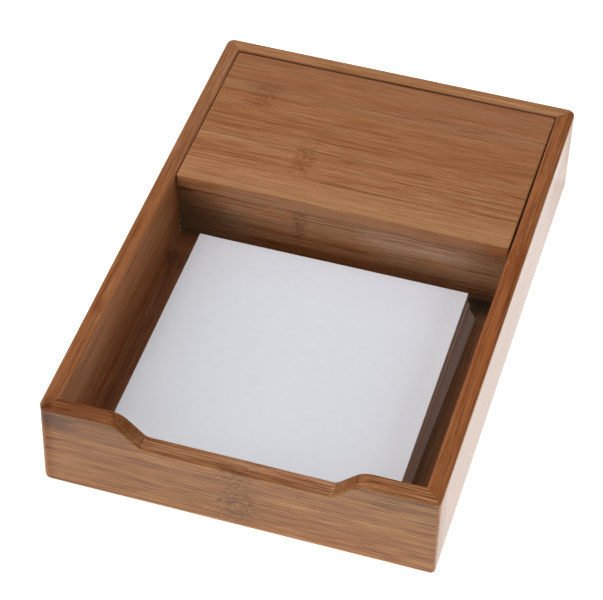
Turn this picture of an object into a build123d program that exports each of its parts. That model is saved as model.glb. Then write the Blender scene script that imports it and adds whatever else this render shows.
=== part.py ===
from build123d import *
import os

# Memo pad holder: an open-topped bamboo box with mitred corners. The front two thirds is a tray
# for square loose sheets, with a finger notch in the front wall. The back third is a closed
# compartment under a flush lid that turns on two concealed dowel pins.
#
# Frame: origin at the middle of the underside, +Z up, front wall at -Y, hinge side at +Y.
# Millimetres.

os.makedirs("parts", exist_ok=True)

# ---------------------------------------------------------------- driving dimensions
box_w = 140.0            # outside width, X
box_d = 207.8            # outside depth, Y
box_h = 36.2             # outside height, Z
wall = 6.2               # thickness of the four walls
corner_r = 3.1           # rounding of the upright outer corners
corner_r_crisp = 1.6     # the front right corner is left crisper than the others
rim_r_out = 1.3          # rounding of the rim's outer edge
rim_r_in = 0.8           # rounding of the rim's inner edge
base_r = 1.1             # rounding of the lower outer edge

# finger notch in the front wall
notch_floor_z = 27.7     # height of the notch floor
notch_half_floor = 33.25 # half width at the floor, before rounding
notch_half_top = 42.25   # half width at the rim, before rounding
notch_r_low = 3.2        # concave rounding at the floor
notch_r_high = 9.0       # convex rounding at the rim

# bottom panel, set in a rabbet round the four walls
panel_t = 3.0            # panel thickness, also the height of the floor
rabbet = 3.2             # how far the rabbet goes into each wall
panel_play = 0.1         # play between the panel's edge and the rabbet

# divider between the tray and the compartment
divider_y = 25.0         # front face
divider_t = 6.2          # thickness
divider_top = 30.6       # top edge, 0.2 under the lid
dado = 2.0               # depth of the dado in each side wall

# lid
lid_t = 5.4
lid_x0, lid_x1 = -63.5, 63.5     # 0.3 of play at each side wall, at the pins
lid_taper = 0.4                  # the free corner on the right stands this much further from its wall
lid_y0, lid_y1 = 20.5, 96.6      # free front edge, hinge edge
lid_edge_r = 0.6
lid_corner_r = 0.9

# hinge pins
pin_r = 1.0
pin_y = 92.1
pin_z = box_h - lid_t / 2
pin_in_wall = 4.5        # length pressed into each side wall
pin_in_lid = 8.0         # length inside the lid
pin_clear = 0.04         # running clearance round the pin in the lid
bore_extra = 0.4         # the lid's blind bore is this much deeper than the pin

# loose memo sheets, in three bundles: (bottom, top, centre x, centre y, turn in degrees)
sheet = 103.0            # side of the square sheets
sheet_r = 0.3
bundle_bottom = (panel_t + 0.05, 7.2, 2.3, -36.4, -1.35)
bundle_middle = (7.2, 11.3, 1.2, -37.1, -0.65)
bundle_top = (11.3, 16.0, 0.05, -37.9, 0.25)

inner_w = box_w - 2 * wall
inner_d = box_d - 2 * wall


def walled_frame():
    """The whole ring of walls before it is cut at the mitres."""
    with BuildPart() as ring:
        with BuildSketch(Plane.XY) as plan:
            Rectangle(box_w, box_d)
            fillet([v for v in plan.vertices() if v.X > 0 and v.Y < 0], corner_r_crisp)
            fillet([v for v in plan.vertices() if v.X < 0 or v.Y > 0], corner_r)
            Rectangle(inner_w, inner_d, mode=Mode.SUBTRACT)
        extrude(amount=box_h)

        # finger notch, cut through the front wall only
        with BuildSketch(Plane.XZ.offset(box_d / 2 - wall - 2)) as cut:
            with BuildLine():
                Polyline(
                    (-notch_half_top - 30, box_h + 10),
                    (-notch_half_top - 30, box_h),
                    (-notch_half_top, box_h),
                    (-notch_half_floor, notch_floor_z),
                    (notch_half_floor, notch_floor_z),
                    (notch_half_top, box_h),
                    (notch_half_top + 30, box_h),
                    (notch_half_top + 30, box_h + 10),
                    close=True,
                )
            make_face()
            low = [v for v in cut.vertices() if abs(v.Y - notch_floor_z) < 0.01]
            fillet(low, notch_r_low)
            high = [
                v
                for v in cut.vertices()
                if abs(v.Y - box_h) < 0.01 and abs(abs(v.X) - notch_half_top) < 0.01
            ]
            fillet(high, notch_r_high)
        extrude(amount=wall + 10, mode=Mode.SUBTRACT)

        # rounded rim, outside and inside, following the notch
        outer = []
        inner = []
        for e in ring.edges():
            c = e @ 0.5
            if c.Z < notch_floor_z - 0.5:
                continue
            on_front = abs(c.Y + box_d / 2) < 0.01
            in_front = abs(c.Y + inner_d / 2) < 0.01
            level = abs(c.Z - box_h) < 0.01 and abs((e % 0.5).Z) < 0.01
            shaped = abs(c.X) < notch_half_top + 8 and c.Z < box_h - 0.001
            out_x = abs(abs(c.X) - box_w / 2) < corner_r
            out_y = abs(abs(c.Y) - box_d / 2) < corner_r
            if (level and (out_x or out_y)) or (shaped and on_front):
                outer.append(e)
            elif (
                level
                and (
                    abs(abs(c.X) - inner_w / 2) < 0.01
                    or abs(abs(c.Y) - inner_d / 2) < 0.01
                )
            ) or (shaped and in_front):
                inner.append(e)
        fillet(outer, rim_r_out)
        fillet(
            [
                e
                for e in ring.edges()
                if any((e @ 0.5 - f @ 0.5).length < 1e-3 for f in inner)
            ],
            rim_r_in,
        )

        # rounded lower edge
        fillet(
            [
                e
                for e in ring.edges().group_by(Axis.Z)[0]
                if abs(abs((e @ 0.5).X) - box_w / 2) < corner_r
                or abs(abs((e @ 0.5).Y) - box_d / 2) < corner_r
            ],
            base_r,
        )

        # rabbet for the bottom panel
        with BuildSketch(Plane.XY):
            Rectangle(inner_w + 2 * rabbet, inner_d + 2 * rabbet)
        extrude(amount=panel_t, mode=Mode.SUBTRACT)

        # dados for the divider, in the inner faces of the side walls
        with BuildSketch(Plane.XY.offset(panel_t)):
            with Locations((0, divider_y + divider_t / 2)):
                Rectangle(inner_w + 2 * dado, divider_t)
        extrude(amount=divider_top - panel_t, mode=Mode.SUBTRACT)

        # blind holes for the hinge pins
        with BuildSketch(Plane.YZ.offset(-inner_w / 2 - pin_in_wall)):
            with Locations((pin_y, pin_z)):
                Circle(pin_r)
        extrude(amount=inner_w + 2 * pin_in_wall, mode=Mode.SUBTRACT)
    return ring.part


blank = walled_frame()
cx, cy = box_w / 2, box_d / 2

# ---------------------------------------------------------------- the four mitred walls
# each wall is what lies between the 45 degree mitre planes through the corners
with BuildPart() as front_wall:
    add(blank)
    with BuildSketch(Plane.XY.offset(-5)):
        with BuildLine():
            Polyline(
                (-cx - 20, -cy - 20), (cx + 20, -cy - 20), (cx - 40, -cy + 40),
                (-cx + 40, -cy + 40), close=True,
            )
        make_face()
    extrude(amount=box_h + 10, mode=Mode.INTERSECT)
front_wall.part.label = "front_wall"

with BuildPart() as back_wall:
    add(blank)
    with BuildSketch(Plane.XY.offset(-5)):
        with BuildLine():
            Polyline(
                (-cx - 20, cy + 20), (cx + 20, cy + 20), (cx - 40, cy - 40),
                (-cx + 40, cy - 40), close=True,
            )
        make_face()
    extrude(amount=box_h + 10, mode=Mode.INTERSECT)
back_wall.part.label = "back_wall"

with BuildPart() as left_wall:
    add(blank)
    with BuildSketch(Plane.XY.offset(-5)):
        with BuildLine():
            Polyline(
                (-cx - 20, -cy - 20), (-cx - 20, cy + 20), (-cx + 40, cy - 40),
                (-cx + 40, -cy + 40), close=True,
            )
        make_face()
    extrude(amount=box_h + 10, mode=Mode.INTERSECT)
left_wall.part.label = "left_wall"

with BuildPart() as right_wall:
    add(blank)
    with BuildSketch(Plane.XY.offset(-5)):
        with BuildLine():
            Polyline(
                (cx + 20, -cy - 20), (cx + 20, cy + 20), (cx - 40, cy - 40),
                (cx - 40, -cy + 40), close=True,
            )
        make_face()
    extrude(amount=box_h + 10, mode=Mode.INTERSECT)
right_wall.part.label = "right_wall"

# ---------------------------------------------------------------- bottom panel
with BuildPart() as bottom_panel:
    with BuildSketch(Plane.XY):
        Rectangle(
            inner_w + 2 * rabbet - 2 * panel_play, inner_d + 2 * rabbet - 2 * panel_play
        )
    extrude(amount=panel_t)
    chamfer(bottom_panel.faces().sort_by(Axis.Z)[0].edges(), 0.2)
bottom_panel.part.label = "bottom_panel"

# ---------------------------------------------------------------- divider
with BuildPart() as divider:
    with BuildSketch(Plane.XY.offset(panel_t)):
        with Locations((0, divider_y + divider_t / 2)):
            Rectangle(inner_w + 2 * dado, divider_t)
    extrude(amount=divider_top - panel_t)
    fillet(
        divider.edges().filter_by(Axis.X).group_by(Axis.Z)[-1],
        0.5,
    )
divider.part.label = "divider"

# ---------------------------------------------------------------- lid
with BuildPart() as lid:
    with BuildSketch(Plane.XY.offset(box_h - lid_t)):
        with BuildLine():
            Polyline(
                (lid_x0, lid_y0), (lid_x1 - lid_taper, lid_y0),
                (lid_x1, lid_y1), (lid_x0, lid_y1), close=True,
            )
        make_face()
        fillet(vertices(), lid_corner_r)
    extrude(amount=lid_t)
    fillet(
        lid.faces().sort_by(Axis.Z)[0].edges() + lid.faces().sort_by(Axis.Z)[-1].edges(),
        lid_edge_r,
    )
    # blind bores that run on the hinge pins
    with BuildSketch(Plane.YZ.offset(lid_x0 - 1)):
        with Locations((pin_y, pin_z)):
            Circle(pin_r + pin_clear)
    extrude(amount=pin_in_lid + bore_extra + 1, mode=Mode.SUBTRACT)
    with BuildSketch(Plane.YZ.offset(lid_x1 + 1)):
        with Locations((pin_y, pin_z)):
            Circle(pin_r + pin_clear)
    extrude(amount=-(pin_in_lid + bore_extra + 1), mode=Mode.SUBTRACT)
lid.part.label = "lid"

# ---------------------------------------------------------------- hinge pins
with BuildPart() as hinge_pin_left:
    with BuildSketch(Plane.YZ.offset(-inner_w / 2 - pin_in_wall)):
        with Locations((pin_y, pin_z)):
            Circle(pin_r)
    extrude(amount=pin_in_wall + inner_w / 2 + lid_x0 + pin_in_lid)
    chamfer(hinge_pin_left.edges().filter_by(GeomType.CIRCLE), 0.2)
hinge_pin_left.part.label = "hinge_pin_left"

with BuildPart() as hinge_pin_right:
    with BuildSketch(Plane.YZ.offset(inner_w / 2 + pin_in_wall)):
        with Locations((pin_y, pin_z)):
            Circle(pin_r)
    extrude(amount=-(pin_in_wall + inner_w / 2 - lid_x1 + pin_in_lid))
    chamfer(hinge_pin_right.edges().filter_by(GeomType.CIRCLE), 0.2)
hinge_pin_right.part.label = "hinge_pin_right"


# ---------------------------------------------------------------- loose sheets
def bundle(low, high, x, y, turn):
    """A bundle of square sheets, turned about its own centre."""
    with BuildPart() as block:
        with BuildSketch(Plane(origin=(x, y, low)).rotated((0, 0, turn))):
            RectangleRounded(sheet, sheet, sheet_r)
        extrude(amount=high - low)
    return block.part


with BuildPart() as memo_sheets_bottom:
    add(bundle(*bundle_bottom))
memo_sheets_bottom.part.label = "memo_sheets_bottom"

with BuildPart() as memo_sheets_middle:
    add(bundle(*bundle_middle))
memo_sheets_middle.part.label = "memo_sheets_middle"

with BuildPart() as memo_sheets_top:
    add(bundle(*bundle_top))
memo_sheets_top.part.label = "memo_sheets_top"

# ---------------------------------------------------------------- one file per piece
export_step(front_wall.part, "parts/front_wall.step")
export_step(back_wall.part, "parts/back_wall.step")
export_step(left_wall.part, "parts/left_wall.step")
export_step(right_wall.part, "parts/right_wall.step")
export_step(bottom_panel.part, "parts/bottom_panel.step")
export_step(divider.part, "parts/divider.step")
export_step(lid.part, "parts/lid.step")
export_step(hinge_pin_left.part, "parts/hinge_pin_left.step")
export_step(hinge_pin_right.part, "parts/hinge_pin_right.step")
export_step(memo_sheets_bottom.part, "parts/memo_sheets_bottom.step")
export_step(memo_sheets_middle.part, "parts/memo_sheets_middle.step")
export_step(memo_sheets_top.part, "parts/memo_sheets_top.step")
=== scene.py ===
import math
import random

import bmesh
import bpy
from mathutils import Matrix, Vector


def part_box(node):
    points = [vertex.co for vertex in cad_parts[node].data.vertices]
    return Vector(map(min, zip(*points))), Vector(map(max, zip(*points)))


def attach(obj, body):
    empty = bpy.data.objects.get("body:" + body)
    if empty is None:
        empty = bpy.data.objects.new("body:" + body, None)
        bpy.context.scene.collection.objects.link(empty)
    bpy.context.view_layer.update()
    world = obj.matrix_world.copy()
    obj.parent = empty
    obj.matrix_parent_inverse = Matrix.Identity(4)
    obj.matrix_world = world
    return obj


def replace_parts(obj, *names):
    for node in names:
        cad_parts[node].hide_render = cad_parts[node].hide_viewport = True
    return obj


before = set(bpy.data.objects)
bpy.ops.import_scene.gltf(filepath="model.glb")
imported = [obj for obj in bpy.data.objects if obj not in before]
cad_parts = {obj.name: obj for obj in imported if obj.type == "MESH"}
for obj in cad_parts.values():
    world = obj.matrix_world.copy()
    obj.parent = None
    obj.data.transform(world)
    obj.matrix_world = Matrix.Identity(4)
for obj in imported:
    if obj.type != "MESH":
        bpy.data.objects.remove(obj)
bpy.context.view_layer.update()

scene = bpy.context.scene
scene.view_settings.view_transform = "Standard"
scene.view_settings.look = "None"

MM = 0.001

# ------------------------------------------------------------------ camera
# a long lens from the front, a little to the right, looking down at about 45 degrees
right = Vector((0.95689137, 0.28953735, 0.02295715))
up = Vector((-0.21998902, 0.67089081, 0.70817395))
forward = Vector((-0.18964107, 0.68269587, -0.70566466))
cam_data = bpy.data.cameras.new("camera")
cam_data.sensor_width = 36.0
cam_data.lens = 142.344
cam_data.clip_start, cam_data.clip_end = 0.05, 60.0
cam = bpy.data.objects.new("camera", cam_data)
cam.matrix_world = Matrix((
    (right.x, up.x, -forward.x, 0.158651),
    (right.y, up.y, -forward.y, -0.599942),
    (right.z, up.z, -forward.z, 0.627514),
    (0, 0, 0, 1),
))
scene.collection.objects.link(cam)
scene.camera = cam

# ------------------------------------------------------------------ lights
world = bpy.data.worlds.new("studio")
world.use_nodes = True
bg = world.node_tree.nodes["Background"]
bg.inputs["Color"].default_value = (1.0, 1.0, 1.0, 1.0)
bg.inputs["Strength"].default_value = 0.08
scene.world = world


def softbox(name, azimuth, elevation, distance, width, height, power, tint=(1, 1, 1)):
    """A rectangular soft light aimed at the object. Azimuth 0 is in front, 90 on the right."""
    a, e = math.radians(azimuth), math.radians(elevation)
    out = Vector((math.sin(a) * math.cos(e), -math.cos(a) * math.cos(e), math.sin(e)))
    d = bpy.data.lights.new(name, "AREA")
    d.shape = "RECTANGLE"
    d.size, d.size_y = width, height
    d.energy = power
    d.color = tint
    o = bpy.data.objects.new(name, d)
    o.matrix_world = Matrix.Translation(out * distance) @ out.to_track_quat("Z", "Y").to_matrix().to_4x4()
    scene.collection.objects.link(o)
    o.visible_camera = False
    return o


softbox("key_left", -110, 55, 1.4, 0.7, 0.7, 6.7)
softbox("side_left", -90, 25, 1.4, 0.7, 0.7, 6.4)
softbox("fill_right", 92, 32, 1.4, 0.7, 0.7, 4.8)
softbox("low_front", -30, 22, 1.4, 0.7, 0.7, 3.2)
softbox("overhead", 0, 88, 1.4, 0.7, 0.7, 3.0)


# ------------------------------------------------------------------ node helper
class Tree:
    """Short names for building a material's nodes."""

    def __init__(self, name):
        self.mat = bpy.data.materials.new(name)
        self.mat.use_nodes = True
        self.t = self.mat.node_tree
        self.t.nodes.clear()

    def put(self, socket, value):
        if isinstance(value, bpy.types.NodeSocket):
            self.t.links.new(value, socket)
        elif value is not None:
            socket.default_value = value

    def math(self, op, a, b=None, c=None, clamp=False):
        n = self.t.nodes.new("ShaderNodeMath")
        n.operation = op
        n.use_clamp = clamp
        for i, v in enumerate((a, b, c)):
            if v is not None:
                self.put(n.inputs[i], v)
        return n.outputs[0]

    def vmath(self, op, a, b=None):
        n = self.t.nodes.new("ShaderNodeVectorMath")
        n.operation = op
        self.put(n.inputs[0], a)
        if b is not None:
            self.put(n.inputs[1], b)
        return n.outputs[0]

    def split(self, v):
        n = self.t.nodes.new("ShaderNodeSeparateXYZ")
        self.put(n.inputs[0], v)
        return n.outputs

    def join(self, x, y, z):
        n = self.t.nodes.new("ShaderNodeCombineXYZ")
        for i, v in enumerate((x, y, z)):
            self.put(n.inputs[i], v)
        return n.outputs[0]

    def noise(self, vec, detail=2.0, rough=0.5, distortion=0.0):
        n = self.t.nodes.new("ShaderNodeTexNoise")
        n.noise_dimensions = "3D"
        self.put(n.inputs["Vector"], vec)
        n.inputs["Scale"].default_value = 1.0
        n.inputs["Detail"].default_value = detail
        n.inputs["Roughness"].default_value = rough
        n.inputs["Distortion"].default_value = distortion
        return n.outputs[0]

    def cells(self, vec, feature="F1"):
        n = self.t.nodes.new("ShaderNodeTexVoronoi")
        n.feature = feature
        self.put(n.inputs["Vector"], vec)
        n.inputs["Scale"].default_value = 1.0
        return n.outputs["Distance"]

    def step(self, v, lo, hi, a=0.0, b=1.0):
        """Smooth change from a, where v is below lo, to b, where it is above hi."""
        n = self.t.nodes.new("ShaderNodeMapRange")
        n.interpolation_type = "SMOOTHSTEP"
        self.put(n.inputs[0], v)
        n.inputs[1].default_value, n.inputs[2].default_value = lo, hi
        n.inputs[3].default_value, n.inputs[4].default_value = a, b
        return n.outputs[0]

    def ramp(self, fac, stops, interpolation="LINEAR"):
        n = self.t.nodes.new("ShaderNodeValToRGB")
        r = n.color_ramp
        r.interpolation = interpolation
        while len(r.elements) < len(stops):
            r.elements.new(0.5)
        for e, (p, c) in zip(r.elements, stops):
            e.position = p
            e.color = (c[0], c[1], c[2], 1.0) if hasattr(c, "__len__") else (c, c, c, 1.0)
        self.put(n.inputs[0], fac)
        return n.outputs[0]

    def mix(self, fac, a, b, blend="MIX"):
        n = self.t.nodes.new("ShaderNodeMix")
        n.data_type = "RGBA"
        n.blend_type = blend
        self.put(n.inputs[0], fac)
        for s, v in ((n.inputs[6], a), (n.inputs[7], b)):
            self.put(s, (*v, 1.0) if isinstance(v, tuple) and len(v) == 3 else v)
        return n.outputs[2]

    def bump(self, height, strength, distance, normal=None):
        n = self.t.nodes.new("ShaderNodeBump")
        n.inputs["Strength"].default_value = strength
        n.inputs["Distance"].default_value = distance
        self.put(n.inputs["Height"], height)
        if normal is not None:
            self.put(n.inputs["Normal"], normal)
        return n.outputs[0]

    def shader(self, color, roughness, normal=None, **fixed):
        b = self.t.nodes.new("ShaderNodeBsdfPrincipled")
        out = self.t.nodes.new("ShaderNodeOutputMaterial")
        self.put(b.inputs["Base Color"], color)
        self.put(b.inputs["Roughness"], roughness)
        if normal is not None:
            self.put(b.inputs["Normal"], normal)
        for k, v in fixed.items():
            b.inputs[k.replace("_", " ")].default_value = v
        self.t.links.new(b.outputs[0], out.inputs["Surface"])
        return b


# ------------------------------------------------------------------ bamboo
GREY = (0.58, 0.61, 0.66)
RUST = (0.70, 0.56, 0.47)


def bamboo(name, grain, across, lo, hi, strips, knots, shift, hue=(1.0, 1.0, 1.0), amp=(0.55, 0.75, 0.75), tint=0.6,
           mitre=False, top_tone=None, notch_tone=None, outer_shade_tone=None, marks=(), fades=(), bundles=0.42,
           rim=0.95, rim_tone=(0.70, 0.56, 0.46), worn=None):
    """Carbonised laminated bamboo under satin lacquer.

    grain and across are axes: the fibres run along grain, and the strips lie side by side along across.
    strips is a list of (start, tone, life): where each strip starts along across, in mm between lo and hi, how light
    it is, and how strong its streaks are.
    knots is a list of (along, across, half length, half width, strength, tint), in mm.
    amp is how strong the broad, middle and fine streaks are, and tint how far they swing between olive and pink.
    fades is a list of (conditions, colour): slow changes of tone over the board, partly the wood's own tone and partly
    painted light and shade. A condition is (axis, low, high, a, b) on x, y, z in mm (axis 0 to 2) or on the face's
    normal (axis 3 to 5), going from a to b, and they are multiplied.
    bundles is how dark the long fibre bundles are. rim is how much of the lacquer is gone from the rounded edges, and
    rim_tone is how the wood looks there. worn is (low, high, amount) on x, in mm: lacquer lost towards the board's end.
    """
    t = Tree(name)
    tc = t.t.nodes.new("ShaderNodeTexCoord")
    xyz = t.split(tc.outputs["Object"])
    axis = {"X": 0, "Y": 1, "Z": 2}
    u = xyz[axis[grain]]
    v = xyz[axis[across]]
    w = xyz[3 - axis[grain] - axis[across]]
    nxyz = t.split(tc.outputs["Normal"])
    nu = t.math("ABSOLUTE", nxyz[axis[grain]])
    nz = nxyz[2]

    # which strip: a tone for each, that also shifts its fibres
    span = (hi - lo) * MM
    pos = t.math("DIVIDE", t.math("SUBTRACT", v, lo * MM), span)
    stops = [(max(0.0, (s - lo) / (hi - lo)), tone) for s, tone, _ in strips]
    tone = t.ramp(pos, stops, "CONSTANT")
    life = t.ramp(pos, [(p, k) for (p, _), (_, _, k) in zip(stops, strips)], "CONSTANT")
    own = t.ramp(pos, [(p, (0.137 + 0.618 * i) % 1.0) for i, (p, _) in enumerate(stops)], "CONSTANT")
    base = t.join(u, v, w)

    # knuckles: how far into one this point is
    total = None
    tinted = []
    for ku, kv, hu, hv, strength, colour in knots:
        blot = t.noise(t.vmath("MULTIPLY", t.vmath("ADD", base, (0.3, shift, 0.5)), (240.0, 330.0, 330.0)), 2.0, 0.55)
        edge = t.math("MULTIPLY", t.math("SUBTRACT", blot, 0.5), 1.5)
        du = t.math("ADD", t.math("ABSOLUTE", t.math("DIVIDE", t.math("SUBTRACT", u, ku * MM), hu * MM)), edge)
        dw = t.math("ABSOLUTE", t.math("DIVIDE", t.math("SUBTRACT", v, kv * MM), hv * MM))
        m = t.math("MULTIPLY", t.step(du, 0.15, 1.35, 1.0, 0.0), t.step(dw, 0.70, 1.12, 1.0, 0.0))
        m = t.math("MULTIPLY", m, strength)
        tinted.append((m, colour))
        total = m if total is None else t.math("MAXIMUM", total, m)

    # fibres wander a little, and curl round the knuckles
    slow = t.noise(t.vmath("MULTIPLY", t.vmath("ADD", base, (shift, 0.0, 0.0)), (16.0, 60.0, 60.0)), 1.0)
    quick = t.noise(t.vmath("MULTIPLY", t.vmath("ADD", base, (0.0, shift, 0.0)), (75.0, 190.0, 190.0)), 1.0)
    dv = t.math("MULTIPLY", t.math("SUBTRACT", slow, 0.5), 0.0013)
    dv = t.math("MULTIPLY_ADD", t.math("SUBTRACT", quick, 0.5), 0.0003, dv)
    if total is not None:
        curl = t.noise(t.vmath("MULTIPLY", t.vmath("ADD", base, (0.0, 0.0, shift)), (420.0, 420.0, 420.0)), 1.0)
        dv = t.math("MULTIPLY_ADD", t.math("MULTIPLY", t.math("SUBTRACT", curl, 0.5), total), 0.0042, dv)
    bent = t.join(
        t.math("ADD", u, t.math("MULTIPLY_ADD", own, 2.3, shift)),
        t.math("ADD", t.math("ADD", v, dv), t.math("MULTIPLY", own, 0.71)),
        t.math("ADD", w, t.math("MULTIPLY", dv, 0.8)),
    )

    def streaks(along, cross, offset, detail, rough):
        return t.noise(t.vmath("MULTIPLY", t.vmath("ADD", bent, offset), (along, cross, cross)), detail, rough)

    broad = streaks(7.0, 150.0, (0.0, 0.0, 0.0), 2.0, 0.55)
    mid = streaks(17.0, 860.0, (0.13, 0.07, 0.05), 2.0, 0.6)
    fine = streaks(62.0, 2300.0, (0.21, 0.03, 0.17), 2.0, 0.6)
    dash = streaks(24.0, 1750.0, (0.37, 0.11, 0.23), 2.0, 0.5)
    swing = streaks(8.0, 480.0, (0.51, 0.29, 0.41), 2.0, 0.55)
    mottle = t.noise(t.vmath("MULTIPLY", base, (420.0, 900.0, 900.0)), 2.0, 0.6)

    lum = t.math("MULTIPLY", t.math("SUBTRACT", broad, 0.5), amp[0])
    lum = t.math("MULTIPLY_ADD", t.math("SUBTRACT", mid, 0.5), amp[1], lum)
    lum = t.math("MULTIPLY_ADD", t.math("SUBTRACT", fine, 0.5), amp[2], lum)
    lum = t.math("MULTIPLY_ADD", t.math("SUBTRACT", mottle, 0.5), 0.22, lum)
    lum = t.math("MULTIPLY_ADD", lum, life, 0.5)
    lum = t.math("MULTIPLY_ADD", t.math("SUBTRACT", tone, 0.5), 0.9, lum, clamp=True)

    def c(r, g, b):
        return (r * hue[0], g * hue[1], b * hue[2])

    color = t.ramp(lum, [
        (0.0, c(0.200, 0.068, 0.024)),
        (0.28, c(0.335, 0.134, 0.053)),
        (0.50, c(0.440, 0.197, 0.087)),
        (0.72, c(0.515, 0.254, 0.121)),
        (1.0, c(0.600, 0.322, 0.165)),
    ])
    color = t.mix(t.step(swing, 0.34, 0.66), t.mix(tint, color, (0.95, 1.04, 1.06), "MULTIPLY"),
                  t.mix(tint, color, (1.05, 0.96, 0.93), "MULTIPLY"))
    # dark fibre bundles
    color = t.mix(t.math("MULTIPLY", t.math("MULTIPLY", t.step(dash, 0.57, 0.70), bundles), life), color, (0.76, 0.61, 0.50), "MULTIPLY")

    # glue lines between the strips
    line = None
    for s, _, _ in strips[1:]:
        d = t.math("ABSOLUTE", t.math("SUBTRACT", t.math("MULTIPLY_ADD", dv, 0.12, v), s * MM))
        m = t.step(d, 0.00006, 0.00026, 1.0, 0.0)
        line = m if line is None else t.math("MAXIMUM", line, m)
    if line is not None:
        part = t.math("MULTIPLY", line, t.step(broad, 0.35, 0.6, 0.25, 0.75))
        color = t.mix(part, color, (0.60, 0.44, 0.35), "MULTIPLY")

    # knuckles: broken, darker fibres, with small pale and dark specks
    amount = None
    if knots:
        speck = t.noise(t.vmath("MULTIPLY", t.vmath("ADD", base, (shift, 0.2, 0.1)), (620.0, 1150.0, 1150.0)), 3.0, 0.65)
        pits = t.step(speck, 0.36, 0.66, 0.12, 1.0)
        for m, colour in tinted:
            color = t.mix(t.math("MULTIPLY", m, pits), color, colour, "MULTIPLY")
        amount = t.math("MULTIPLY", total, pits)

    # stray marks: soft cloudy patches that scale the colour
    for mu, mv, mw, hu, hv, hw, strength, colour in marks:
        cloud = t.noise(t.vmath("MULTIPLY", t.vmath("ADD", base, (shift, 0.7, 0.4)), (150.0, 620.0, 620.0)), 2.0, 0.5)
        wob = t.math("MULTIPLY", t.math("SUBTRACT", cloud, 0.5), 1.1)
        m = strength
        for q, mid_q, half in ((u, mu, hu), (v, mv, hv), (w, mw, hw)):
            if half is not None:
                d = t.math("ADD", t.math("ABSOLUTE", t.math("DIVIDE", t.math("SUBTRACT", q, mid_q * MM), half * MM)), wob)
                m = t.math("MULTIPLY", t.step(d, 0.30, 1.10, 1.0, 0.0), m)
        color = t.mix(m, color, colour, "MULTIPLY")

    # slow changes of tone along the board, partly the wood's own tone and partly painted light and shade
    for conditions, colour in fades:
        m = None
        for ax, low, high, a, b in conditions:
            f = t.step(xyz[ax], low * MM, high * MM, a, b) if ax < 3 else t.step(nxyz[ax - 3], low, high, a, b)
            m = f if m is None else t.math("MULTIPLY", m, f)
        color = t.mix(m, color, colour, "MULTIPLY")

    # the strips' edges, on top of the walls, are redder and deeper than their faces, and closely lined
    if top_tone is not None:
        lines = streaks(13.0, 2100.0, (0.61, 0.17, 0.33), 2.0, 0.6)
        patch = streaks(26.0, 640.0, (0.15, 0.47, 0.71), 2.0, 0.6)
        top = t.mix(1.0, color, top_tone, "MULTIPLY")
        top = t.mix(t.step(lines, 0.50, 0.66, 0.0, 0.58), top, (0.66, 0.50, 0.40), "MULTIPLY")
        top = t.mix(t.step(patch, 0.50, 0.70, 0.0, 0.32), top, (1.28, 1.05, 0.80), "MULTIPLY")
        if notch_tone is not None:
            sill = t.mix(1.0, color, notch_tone, "MULTIPLY")
            sill = t.mix(t.step(lines, 0.50, 0.64, 0.0, 0.58), sill, (0.66, 0.46, 0.34), "MULTIPLY")
            top = t.mix(t.step(xyz[2], 0.0285, 0.0330), sill, top)
        color = t.mix(t.step(nz, 0.55, 0.86), color, top)
    # painted shade: the outer (+x) face is toned darker and yellower than the rest of the board, for the bright light
    # on that side
    if outer_shade_tone is not None:
        color = t.mix(t.step(nxyz[0], 0.93, 0.995), color, t.mix(1.0, color, outer_shade_tone, "MULTIPLY"))

    # end grain: dark bundles seen as dots
    dots = t.cells(t.vmath("MULTIPLY", t.join(t.math("MULTIPLY", u, 0.05), v, w), (1.0, 1500.0, 1500.0)))
    endc = t.mix(t.step(dots, 0.18, 0.42), (0.150, 0.062, 0.028), (0.395, 0.190, 0.090))
    color = t.mix(t.step(nu, 0.75, 0.93), color, endc)

    # rounded edges: lacquer runs thin there and the wood is darker there
    nmax = t.math("MAXIMUM", t.math("MAXIMUM", t.math("ABSOLUTE", nxyz[0]), t.math("ABSOLUTE", nxyz[1])), t.math("ABSOLUTE", nz))
    edge = t.step(nmax, 0.74, 0.97, 1.0, 0.0)
    edge_dark = t.step(mid, 0.30, 0.62, 0.35, 1.0)
    edge_dark = t.math("MULTIPLY", edge_dark, t.step(t.math("ABSOLUTE", nz), 0.03, 0.30, 0.12, 0.60))
    color = t.mix(t.math("MULTIPLY", edge, edge_dark), color, rim_tone, "MULTIPLY")

    # mitre joints: a hair of glue on the 45 degree plane through each corner
    if mitre:
        k = t.math("SUBTRACT", t.math("SUBTRACT", t.math("ABSOLUTE", xyz[0]), 0.0700),
                   t.math("SUBTRACT", t.math("ABSOLUTE", xyz[1]), 0.1039))
        k = t.math("ABSOLUTE", k)
        color = t.mix(t.step(k, 0.00010, 0.00042, 0.45, 0.0), color, (0.62, 0.50, 0.42), "MULTIPLY")
        color = t.mix(t.step(k, 0.00003, 0.00014, 0.60, 0.0), color, (0.46, 0.29, 0.17))

    roughness = t.math("MULTIPLY_ADD", t.math("SUBTRACT", mid, 0.5), 0.22, 0.48)
    roughness = t.math("MULTIPLY_ADD", edge, 0.08, roughness)
    if amount is not None:
        roughness = t.math("MULTIPLY_ADD", amount, 0.12, roughness)

    height = t.math("MULTIPLY_ADD", fine, 0.55, t.math("MULTIPLY", mid, 0.45))
    if line is not None:
        height = t.math("SUBTRACT", height, t.math("MULTIPLY", line, 0.35))
    if amount is not None:
        height = t.math("MULTIPLY_ADD", amount, -0.5, height)
    normal = t.bump(height, 0.20, 0.00012)
    b = t.shader(color, roughness, normal, IOR=1.35, Specular_IOR_Level=0.12, Coat_Roughness=0.16, Coat_IOR=1.36)
    tilted = t.math("MULTIPLY", t.step(nmax, 0.985, 0.9999, 1.0, 0.0), t.step(t.math("ABSOLUTE", nz), 0.03, 0.25))
    coat = t.math("MULTIPLY_ADD", tilted, -rim, 1.0)
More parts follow.
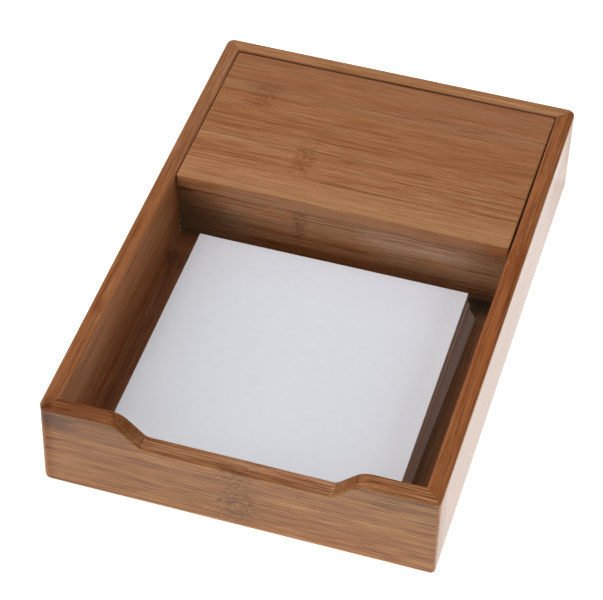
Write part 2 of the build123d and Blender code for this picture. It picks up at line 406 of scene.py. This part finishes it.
    # faces that lie upwards are rubbed down to a duller finish
    coat = t.math("MULTIPLY", coat, t.step(nz, 0.90, 0.995, 1.0, 0.18))
    if worn is not None:
        coat = t.math("MULTIPLY", coat, t.step(xyz[0], worn[0] * MM, worn[1] * MM, 1.0 - worn[2], 1.0))
    if outer_shade_tone is not None:
        # the lacquer on the outer face is a little uneven, and thinner towards both corners
        thin = t.math("MULTIPLY_ADD", t.step(xyz[1], 0.052, 0.092), t.step(xyz[2], 0.010, 0.026, 0.20, 0.38),
                      t.step(broad, 0.40, 0.62, 0.0, 0.07))
        thin = t.math("ADD", thin, t.step(xyz[1], -0.100, -0.090, 0.20, 0.0))
        thin = t.math("ADD", thin, t.step(xyz[1], 0.086, 0.098, 0.0, 0.14))
        thin = t.math("MULTIPLY", thin, t.step(nxyz[0], 0.80, 0.95))
        coat = t.math("MULTIPLY", coat, t.math("SUBTRACT", 1.0, thin))
    t.put(b.inputs["Coat Weight"], coat)
    return t.mat


LEFT_TOP = (0.762, 0.695, 0.632)
RIGHT_TOP = (0.786, 0.640, 0.524)
materials = {
    "front_wall": bamboo(
        "bamboo_front_wall", "X", "Z", 0, 36.2, [(0, 0.50, 1.0), (28.4, 0.47, 1.1)],
        # painted shade: the front wall's hue sets its faces darker than the side walls', to offset the bright floor's
        # light on its front face, and top_tone lifts its top back up; partly this is the board's own tone
        [(0.3, 15.0, 6.6, 13.0, 0.95, (0.56, 0.58, 0.60))], 0.11, hue=(0.79, 0.715, 0.460), amp=(0.24, 1.15, 2.10), tint=0.24, bundles=0.85,
        mitre=True, top_tone=(1.10, 1.07, 1.45), notch_tone=(1.38, 1.62, 2.80), rim=0.60, rim_tone=(0.86, 0.78, 0.74),
        worn=(-69.5, -62.5, 0.65),
        fades=[([(0, -40, -31, 1, 0), (2, 23, 30.5, 0, 1)], (0.79, 0.76, 0.72)),
               ([(0, 35, 42, 0, 1), (2, 24, 31, 0, 1), (2, 32.5, 34.5, 1, 0), (4, -0.99, -0.85, 1, 0)], (0.87, 0.90, 0.93)),
               ([(0, -46, -24, 1, 0), (4, -0.99, -0.85, 1, 0)], (0.905, 0.86, 0.765)),
               ([(0, -40, -31, 1, 0), (5, 0.9, 0.99, 0, 1), (2, 33, 35, 0, 1)], (0.93, 0.87, 0.84)),
               ([(0, 31, 40, 0, 1), (5, 0.9, 0.99, 0, 1), (2, 33, 35, 0, 1)], (1.02, 1.12, 1.20)),
               # painted shade: the rounded left end (x below -64) is darkened against the light from the left
               ([(0, -68.0, -64.0, 1, 0), (2, 12, 24, 0, 1)], (0.86, 0.78, 0.56)),
               ([(0, -68.0, -64.0, 1, 0)], (0.87, 0.82, 0.68)),
               ([(0, -5, 25, 1, 0)], (0.955, 0.95, 0.91)),
               ([(2, 2.0, 7.5, 1, 0)], (1.11, 1.14, 1.17)),
               ([(2, 2.0, 6.0, 1, 0), (0, -40, -20, 0, 1)], (1.10, 1.14, 1.20)),
               ([(2, 21.0, 23.5, 0, 1), (2, 26, 28, 1, 0), (0, 10, 30, 0, 1)], (0.90, 0.92, 0.96)),
               ([(5, 0.9, 0.99, 0, 1), (2, 28.5, 31, 1, 0), (0, -6, 10, 0, 1)], (0.97, 0.92, 0.94)),
               ([(5, 0.9, 0.99, 0, 1), (2, 28.5, 31, 1, 0), (0, -6, 10, 1, 0)], (0.96, 0.95, 0.93)),
               # painted shade: the right slope of the notch is darkened
               ([(3, -0.50, -0.30, 1, 0), (5, 0.45, 0.65, 0, 1), (0, 29, 33, 0, 1)], (0.74, 0.70, 0.62))],
        marks=[(-64.5, 31.0, 0.0, 10.0, 4.0, None, 0.90, (0.46, 0.44, 0.43)),
               (1.0, 28.0, -103.0, 9.0, 2.5, 2.2, 0.55, (0.70, 0.60, 0.52)),
               (-55.0, 36.2, -100.5, 11.0, 1.6, 5.0, 0.60, (0.74, 0.62, 0.56)),
               (-67.4, 36.2, -102.4, 2.6, 2.4, 1.7, 0.75, (0.52, 0.44, 0.40))],
    ),
    "back_wall": bamboo(
        "bamboo_back_wall", "X", "Z", 0, 36.2, [(0, 0.46, 1.0), (19.6, 0.54, 1.0)],
        [(-41.0, 9.8, 5.0, 9.2, 0.8, GREY), (26.0, 28.0, 4.6, 8.0, 0.7, RUST)], 0.47, hue=(0.89, 0.90, 0.94), amp=(0.50, 0.80, 1.00), tint=0.5,
        mitre=True, top_tone=(1.14, 1.18, 1.12),
    ),
    "left_wall": bamboo(
        "bamboo_left_wall", "Y", "Z", 0, 36.2, [(0, 0.48, 1.0), (17.4, 0.52, 1.0)],
        [(-30.0, 27.0, 5.2, 9.4, 0.3, RUST), (62.0, 8.6, 5.0, 8.6, 0.8, GREY)], 0.83, hue=(1.02, 0.94, 0.86),
        amp=(0.50, 0.80, 1.20), tint=0.5, mitre=True, top_tone=LEFT_TOP,
        # painted light and shade on the inner face: lighter towards the top, darker at the rear top, and much lighter
        # low at the front, where it fills in the corner's shade
        fades=[([(3, 0.9, 0.99, 0, 1), (2, 24, 31, 0, 1)], (1.11, 1.11, 1.10)),
               ([(3, 0.9, 0.99, 0, 1), (2, 18, 25, 0, 1), (1, -60, -35, 1, 0)], (1.03, 1.10, 1.20)),
               ([(3, 0.9, 0.99, 0, 1), (2, 20, 29, 0, 1), (1, -4, 18, 0, 1)], (0.84, 0.77, 0.70)),
               ([(3, 0.9, 0.99, 0, 1), (2, 4, 11.5, 1, 0), (1, 4, 16, 1, 0)], (1.85, 1.80, 1.60))],
        marks=[(-100.6, 35.0, -67.0, 2.4, 3.0, 2.6, 0.6, (0.62, 0.50, 0.42)),
               (-52.0, 36.0, -67.0, 5.0, 2.0, 2.6, 0.45, (0.66, 0.55, 0.48)),
               (78.0, 36.0, -67.0, 70.0, 6.0, None, 0.90, (1.09, 1.27, 1.60))],
    ),
    "right_wall": bamboo(
        "bamboo_right_wall", "Y", "Z", 0, 36.2, [(0, 0.53, 1.0), (20.8, 0.47, 1.0)],
        [(12.0, 10.4, 5.4, 10.2, 0.35, GREY), (-74.0, 28.4, 4.8, 7.4, 0.25, GREY),
         (17.0, 36.2, 5.5, 2.6, 0.80, (0.84, 0.70, 0.62))], 1.31, hue=(1.02, 0.94, 0.86),
        # painted shade: the outer face is toned darker and yellower for the bright light on that side
        amp=(0.50, 0.80, 1.20), tint=0.5, mitre=True, top_tone=RIGHT_TOP, outer_shade_tone=(0.755, 0.755, 0.40),
        marks=[(70.0, 36.0, 67.0, 60.0, 6.0, 6.0, 0.60, (1.20, 1.42, 1.74))],
    ),
    "divider": bamboo(
        "bamboo_divider", "X", "Z", 3, 30.6, [(3, 0.50, 1.0)],
        # painted light: the hue lightens the whole board for its front face; the first fade brings its other faces back
        # down
        [(-16.8, 20.5, 2.6, 9.0, 0.95, (0.62, 0.54, 0.50))], 1.77, hue=(1.44, 1.77, 2.10), amp=(0.75, 0.95, 1.30), tint=0.5,
        # painted shade and light: the left wall's shadow on the left end, the lid's shade along the top, the pile's
        # shadow low down and at the right foot, the right wall's shade at the right end, and lighter patches between
        fades=[([(4, -0.97, -0.80, 0, 1)], (0.64, 0.54, 0.475)),
               ([(0, -62, -32, 1, 0), (2, 10, 25, 1, 0.12)], (0.50, 0.70, 0.76)),
               ([(0, -62, -40, 1, 0), (2, 18, 25, 0, 1)], (1.32, 1.24, 1.20)),
               ([(0, -62, -54, 1, 0), (2, 14, 20, 0, 1)], (0.60, 0.74, 0.72)),
               ([(0, -53, -46, 0, 1), (0, -30, -14, 1, 0), (2, 18, 22, 0, 1), (2, 25, 29, 1, 0)], (1.28, 1.22, 1.26)),
               ([(0, 2, 12, 0, 1), (0, 42, 50, 1, 0), (2, 15, 20, 0, 1), (2, 25, 28, 1, 0)], (1.07, 1.17, 1.38)),
               ([(2, 25, 27.5, 0, 1)], (0.91, 0.91, 0.92)),
               ([(0, 44, 52, 0, 1), (2, 4.5, 9, 1, 0)], (0.68, 0.82, 0.96)),
               ([(0, 44, 58, 0, 1)], (0.76, 0.75, 0.75)),
               ([(0, -45, -25, 0, 1), (0, 5, 25, 1, 0), (2, 12, 21, 1, 0)], (1.0, 0.79, 0.62)),
               ([(0, -45, -30, 0, 1), (0, 35, 45, 1, 0), (2, 13, 17, 0, 1), (2, 23, 27, 1, 0)], (1.12, 1.06, 1.02))],
    ),
    "bottom_panel": bamboo(
        "bamboo_bottom", "Y", "X", -67, 67, [(-67, 0.46, 1.0), (-46, 0.55, 0.8), (-24, 0.44, 1.0), (-3, 0.52, 0.9), (19, 0.47, 1.0), (41, 0.56, 0.8)],
        [(10.0, -57.0, 5.0, 10.0, 0.85, GREY), (-60.0, -35.0, 5.0, 10.0, 0.8, RUST), (44.0, 8.0, 5.2, 10.4, 0.8, GREY),
         (-20.0, 30.0, 5.0, 10.4, 0.8, GREY), (70.0, 54.0, 4.8, 12.0, 0.8, RUST)], 2.19, hue=(0.74, 0.70, 0.74),
        amp=(0.50, 0.75, 1.00),
        # painted light and shade: lighter along the left wall's foot, filling in the corner's shade; darker towards the
        # right; a painted shadow beside the pile's right foot and a deep painted shadow in the rear right corner
        fades=[([(0, -63.7, -59.3, 1, 0), (1, 4, 18, 1, 0.3)], (1.62, 1.70, 1.75)),
               ([(0, 30, 50, 0, 1)], (0.84, 0.93, 0.98)),
               ([(0, 51.0, 53.5, 0, 1), (0, 54.5, 58.5, 1, 0)], (0.66, 0.76, 0.82)),
               ([(0, 44, 51, 0, 1), (1, 12, 20, 0, 1), (1, 27, 29, 1, 0)], (0.34, 0.45, 0.50))],
    ),
    "lid": bamboo(
        "bamboo_lid", "X", "Y", 20.5, 96.6,
        [(20.5, 0.84, 0.85), (32.4, 0.57, 1.10), (55.6, 0.51, 0.75), (80.6, 0.46, 0.60)],
        [(-21.0, 42.5, 4.2, 9.6, 0.80, RUST), (-46.0, 74.0, 5.8, 8.0, 0.85, (0.66, 0.56, 0.50))], 2.63, hue=(0.89, 0.83, 0.77),
        amp=(0.45, 0.85, 1.60), tint=0.42, bundles=0.50,
        fades=[([(4, -0.99, -0.85, 1, 0)], (1.09, 1.01, 0.88)),
               ([(1, 70, 80, 0, 1)], (0.985, 1.02, 1.13))],
    ),
}
for node, mat in materials.items():
    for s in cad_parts[node].material_slots:
        s.material = mat


def pin_steel():
    t = Tree("pin_steel_drawn")
    tc = t.t.nodes.new("ShaderNodeTexCoord")
    lines = t.noise(t.vmath("MULTIPLY", tc.outputs["Object"], (60.0, 9000.0, 9000.0)), 2.0, 0.6)
    spots = t.noise(t.vmath("MULTIPLY", tc.outputs["Object"], (900.0, 900.0, 900.0)), 3.0, 0.6)
    color = t.ramp(lines, [(0.3, (0.16, 0.14, 0.12)), (0.7, (0.27, 0.24, 0.21))])
    color = t.mix(t.math("MULTIPLY", t.step(spots, 0.6, 0.75), 0.3), color, (0.11, 0.08, 0.06))
    rough = t.math("MULTIPLY_ADD", lines, 0.2, 0.26)
    t.shader(color, rough, t.bump(lines, 0.1, 0.00002), Metallic=1.0)
    return t.mat


steel = pin_steel()
for node in ("hinge_pin_left", "hinge_pin_right"):
    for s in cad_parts[node].material_slots:
        s.material = steel


# ------------------------------------------------------------------ memo sheets
def paper():
    t = Tree("memo_paper_uncoated")
    tc = t.t.nodes.new("ShaderNodeTexCoord")
    o = tc.outputs["Object"]
    nxyz = t.split(tc.outputs["Normal"])
    cloud = t.noise(t.vmath("MULTIPLY", o, (260.0, 260.0, 260.0)), 3.0, 0.55)
    fibre = t.noise(t.vmath("MULTIPLY", o, (2200.0, 3100.0, 3000.0)), 3.0, 0.6)
    flat = t.math("MULTIPLY_ADD", t.math("SUBTRACT", cloud, 0.5), 0.30, t.math("MULTIPLY", fibre, 0.5))
    color = t.ramp(flat, [(0.10, (0.848, 0.872, 0.928)), (0.40, (0.892, 0.917, 0.972))])
    # the cut edges are a touch greyer, and uneven from sheet to sheet
    cut = t.noise(t.vmath("MULTIPLY", o, (40.0, 40.0, 9000.0)), 1.0)
    side = t.mix(t.step(cut, 0.35, 0.65), (0.62, 0.61, 0.57), (0.82, 0.805, 0.76))
    # painted light and shade: the top is a little darker at the rear and lighter towards both sides
    oxyz = t.split(o)
    color = t.mix(t.step(oxyz[0], -0.046, -0.012, 1.0, 0.0), color, (1.025, 1.025, 1.025), "MULTIPLY")
    wide = t.math("MULTIPLY", t.step(oxyz[0], 0.012, 0.036), t.step(oxyz[0], 0.040, 0.048, 1.0, 0.0))
    color = t.mix(wide, color, (1.02, 1.022, 1.028), "MULTIPLY")
    color = t.mix(t.step(oxyz[1], -0.012, 0.008), color, (0.96, 0.955, 0.965), "MULTIPLY")
    # painted shade: all cut edges darker, and the right (+x) side darker still
    side = t.mix(1.0, side, (0.86, 0.84, 0.80), "MULTIPLY")
    side = t.mix(t.step(nxyz[0], 0.3, 0.8), side, (0.80, 0.74, 0.68), "MULTIPLY")
    # painted shade on the slivers of the lower sheets that stick out of the pile
    sliver = t.math("MULTIPLY", t.step(nxyz[2], 0.3, 0.8), t.step(oxyz[2], 0.0146, 0.0156, 1.0, 0.0))
    sliver = t.math("MULTIPLY", sliver, t.math("SUBTRACT", 1.0, t.step(t.math("ABSOLUTE", t.math("SUBTRACT", oxyz[2], 0.0113)), 0.00008, 0.00022, 0.35, 0.0)))
    color = t.mix(sliver, color, (0.56, 0.50, 0.46), "MULTIPLY")
    color = t.mix(t.step(t.math("ABSOLUTE", nxyz[2]), 0.3, 0.8), side, color)
    t.shader(color, 0.82, t.bump(fibre, 0.10, 0.00004), IOR=1.45, Specular_IOR_Level=0.009)
    return t.mat


paper_mat = paper()
PITCH = 0.000104
SIDE = 0.1030
rnd = random.Random(41)


def lie(z):
    """Where the middle of the sheet at height z lies and how it is turned: the upper ones square up, the lower ones fan out."""
    keys = [
        (0.0030, 0.00215, -0.03640, -1.36),
        (0.0040, 0.00200, -0.03645, -1.28),
        (0.0080, 0.00058, -0.03740, -0.27),
        (0.0112, 0.00032, -0.03760, -0.06),
        (0.0114, 0.00000, -0.03790, 0.26),
        (0.0162, 0.00000, -0.03790, 0.26),
    ]
    for (z0, *a), (z1, *b) in zip(keys, keys[1:]):
        if z <= z1:
            f = max(0.0, (z - z0) / (z1 - z0))
            return [p + (q - p) * f for p, q in zip(a, b)]
    return list(keys[-1][1:])


def sheet_stack(name, low, high):
    """A pile of single sheets, each a thin closed slab with its own small slip and turn."""
    bm = bmesh.new()
    n = int(round((high - low) / PITCH))
    step = (high - low) / n
    for i in range(n):
        z = low + i * step
        x, y, turn = lie(z)
        x += rnd.gauss(0, 0.00007)
        y += rnd.gauss(0, 0.00007)
        turn = math.radians(turn + rnd.gauss(0, 0.035))
        c, s = math.cos(turn), math.sin(turn)
        last = high > 0.0155 and i == n - 1
        cuts = 24 if last else 1
        size = SIDE / 2 + rnd.gauss(0, 0.00002)
        top = []
        bot = []
        for j in range(cuts + 1):
            for k in range(cuts + 1):
                u = -size + 2 * size * j / cuts
                v = -size + 2 * size * k / cuts
                lift = 0.0
                if last:
                    # the top sheet lies a shade proud of the pile along its rear and left edges
                    a, b = u / size, v / size
                    lift = 0.00022 * max(0.0, b) ** 6 + 0.00016 * max(0.0, -a) ** 6 + 0.00004 * math.sin(3.1 * a + 1.3 * b)
                px, py = x + c * u - s * v, y + s * u + c * v
                top.append(bm.verts.new((px, py, z + step * 0.93 + max(0.0, lift))))
                bot.append(bm.verts.new((px, py, z + max(0.0, lift))))
        m = cuts + 1
        for j in range(cuts):
            for k in range(cuts):
                q = (j * m + k, (j + 1) * m + k, (j + 1) * m + k + 1, j * m + k + 1)
                bm.faces.new([top[a] for a in q])
                bm.faces.new([bot[a] for a in reversed(q)])
        ring = [j * m for j in range(m)] + [(m - 1) * m + k for k in range(1, m)]
        ring += [j * m + m - 1 for j in range(m - 2, -1, -1)] + [k for k in range(m - 2, 0, -1)]
        for a, b in zip(ring, ring[1:] + ring[:1]):
            bm.faces.new((bot[a], bot[b], top[b], top[a]))
    bmesh.ops.recalc_face_normals(bm, faces=bm.faces)
    me = bpy.data.meshes.new(name)
    bm.to_mesh(me)
    bm.free()
    me.materials.append(paper_mat)
    o = bpy.data.objects.new(name, me)
    scene.collection.objects.link(o)
    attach(o, "memo_sheets")
    return o


for part, node in (("lower", "memo_sheets_bottom"), ("middle", "memo_sheets_middle"), ("upper", "memo_sheets_top")):
    lo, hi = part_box(node)
    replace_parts(sheet_stack("sheet_stack_" + part, lo.z, hi.z), node)


# ------------------------------------------------------------------ dried glue where the divider meets the left wall
def glue_beads():
    t = Tree("dried_glue")
    tc = t.t.nodes.new("ShaderNodeTexCoord")
    n = t.noise(t.vmath("MULTIPLY", tc.outputs["Object"], (1500.0, 1500.0, 1500.0)), 2.0)
    color = t.ramp(n, [(0.3, (0.46, 0.37, 0.26)), (0.7, (0.62, 0.53, 0.40))])
    t.shader(color, 0.35, t.bump(n, 0.3, 0.0001), IOR=1.5)
    bm = bmesh.new()
    r = random.Random(5)
    floor_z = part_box("bottom_panel")[1].z
    face_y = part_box("divider")[0].y
    wall_x = -0.0638
    spots = [(floor_z + 0.0012, 0.00042), (floor_z + 0.0031, 0.00030), (floor_z + 0.0066, 0.00034), (floor_z + 0.0089, 0.00022)]
    for z, size in spots:
        made = bmesh.ops.create_icosphere(bm, subdivisions=2, radius=1.0)
        sx, sy, sz = size * r.uniform(0.8, 1.2), size * r.uniform(0.8, 1.2), size * r.uniform(1.3, 2.4)
        for v in made["verts"]:
            w = 1.0 + 0.16 * math.sin(7 * v.co.x + 5 * v.co.z + z * 9000)
            v.co = Vector((
                wall_x + size * 0.25 + v.co.x * sx * w,
                face_y - size * 0.25 + v.co.y * sy * w,
                z + v.co.z * sz * w,
            ))
    for f in bm.faces:
        f.smooth = True
    me = bpy.data.meshes.new("glue_beads")
    bm.to_mesh(me)
    bm.free()
    me.materials.append(t.mat)
    o = bpy.data.objects.new("glue_beads", me)
    scene.collection.objects.link(o)
    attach(o, "tray")
    return o


glue_beads()

# ------------------------------------------------------------------ floor
ft = Tree("pale_floor")
ftc = ft.t.nodes.new("ShaderNodeTexCoord")
fn = ft.noise(ft.vmath("MULTIPLY", ftc.outputs["Object"], (30.0, 30.0, 30.0)), 2.0)
ft.shader(
    ft.ramp(fn, [(0.3, (0.86, 0.86, 0.86)), (0.7, (0.88, 0.88, 0.88))]), 0.7,
    Emission_Color=(1.0, 1.0, 1.0, 1.0), Emission_Strength=0.86,
)
me = bpy.data.meshes.new("floor")
R, Z = 30.0, -0.00004
me.from_pydata([(-R, -R, Z), (R, -R, Z), (R, R, Z), (-R, R, Z)], [], [(0, 1, 2, 3)])
me.materials.append(ft.mat)
floor = bpy.data.objects.new("floor", me)
scene.collection.objects.link(floor)


# ------------------------------------------------------------------ white backdrop, seen past the floor's far edge
def backdrop():
    bm = bmesh.new()
    bmesh.ops.create_uvsphere(bm, u_segments=48, v_segments=24, radius=28.0)
    for v in bm.verts:
        v.co.z = max(v.co.z, -1.0)
    for f in bm.faces:
        f.smooth = True
    me = bpy.data.meshes.new("backdrop")
    bm.to_mesh(me)
    bm.free()
    m = bpy.data.materials.new("backdrop_white")
    m.use_nodes = True
    nt = m.node_tree
    nt.nodes.clear()
    e = nt.nodes.new("ShaderNodeEmission")
    e.inputs["Color"].default_value = (1.0, 1.0, 1.0, 1.0)
    e.inputs["Strength"].default_value = 1.0
    out = nt.nodes.new("ShaderNodeOutputMaterial")
    nt.links.new(e.outputs[0], out.inputs["Surface"])
    me.materials.append(m)
    o = bpy.data.objects.new("backdrop", me)
    scene.collection.objects.link(o)
    o.visible_diffuse = o.visible_glossy = o.visible_transmission = False
    o.visible_shadow = o.visible_volume_scatter = False


backdrop()
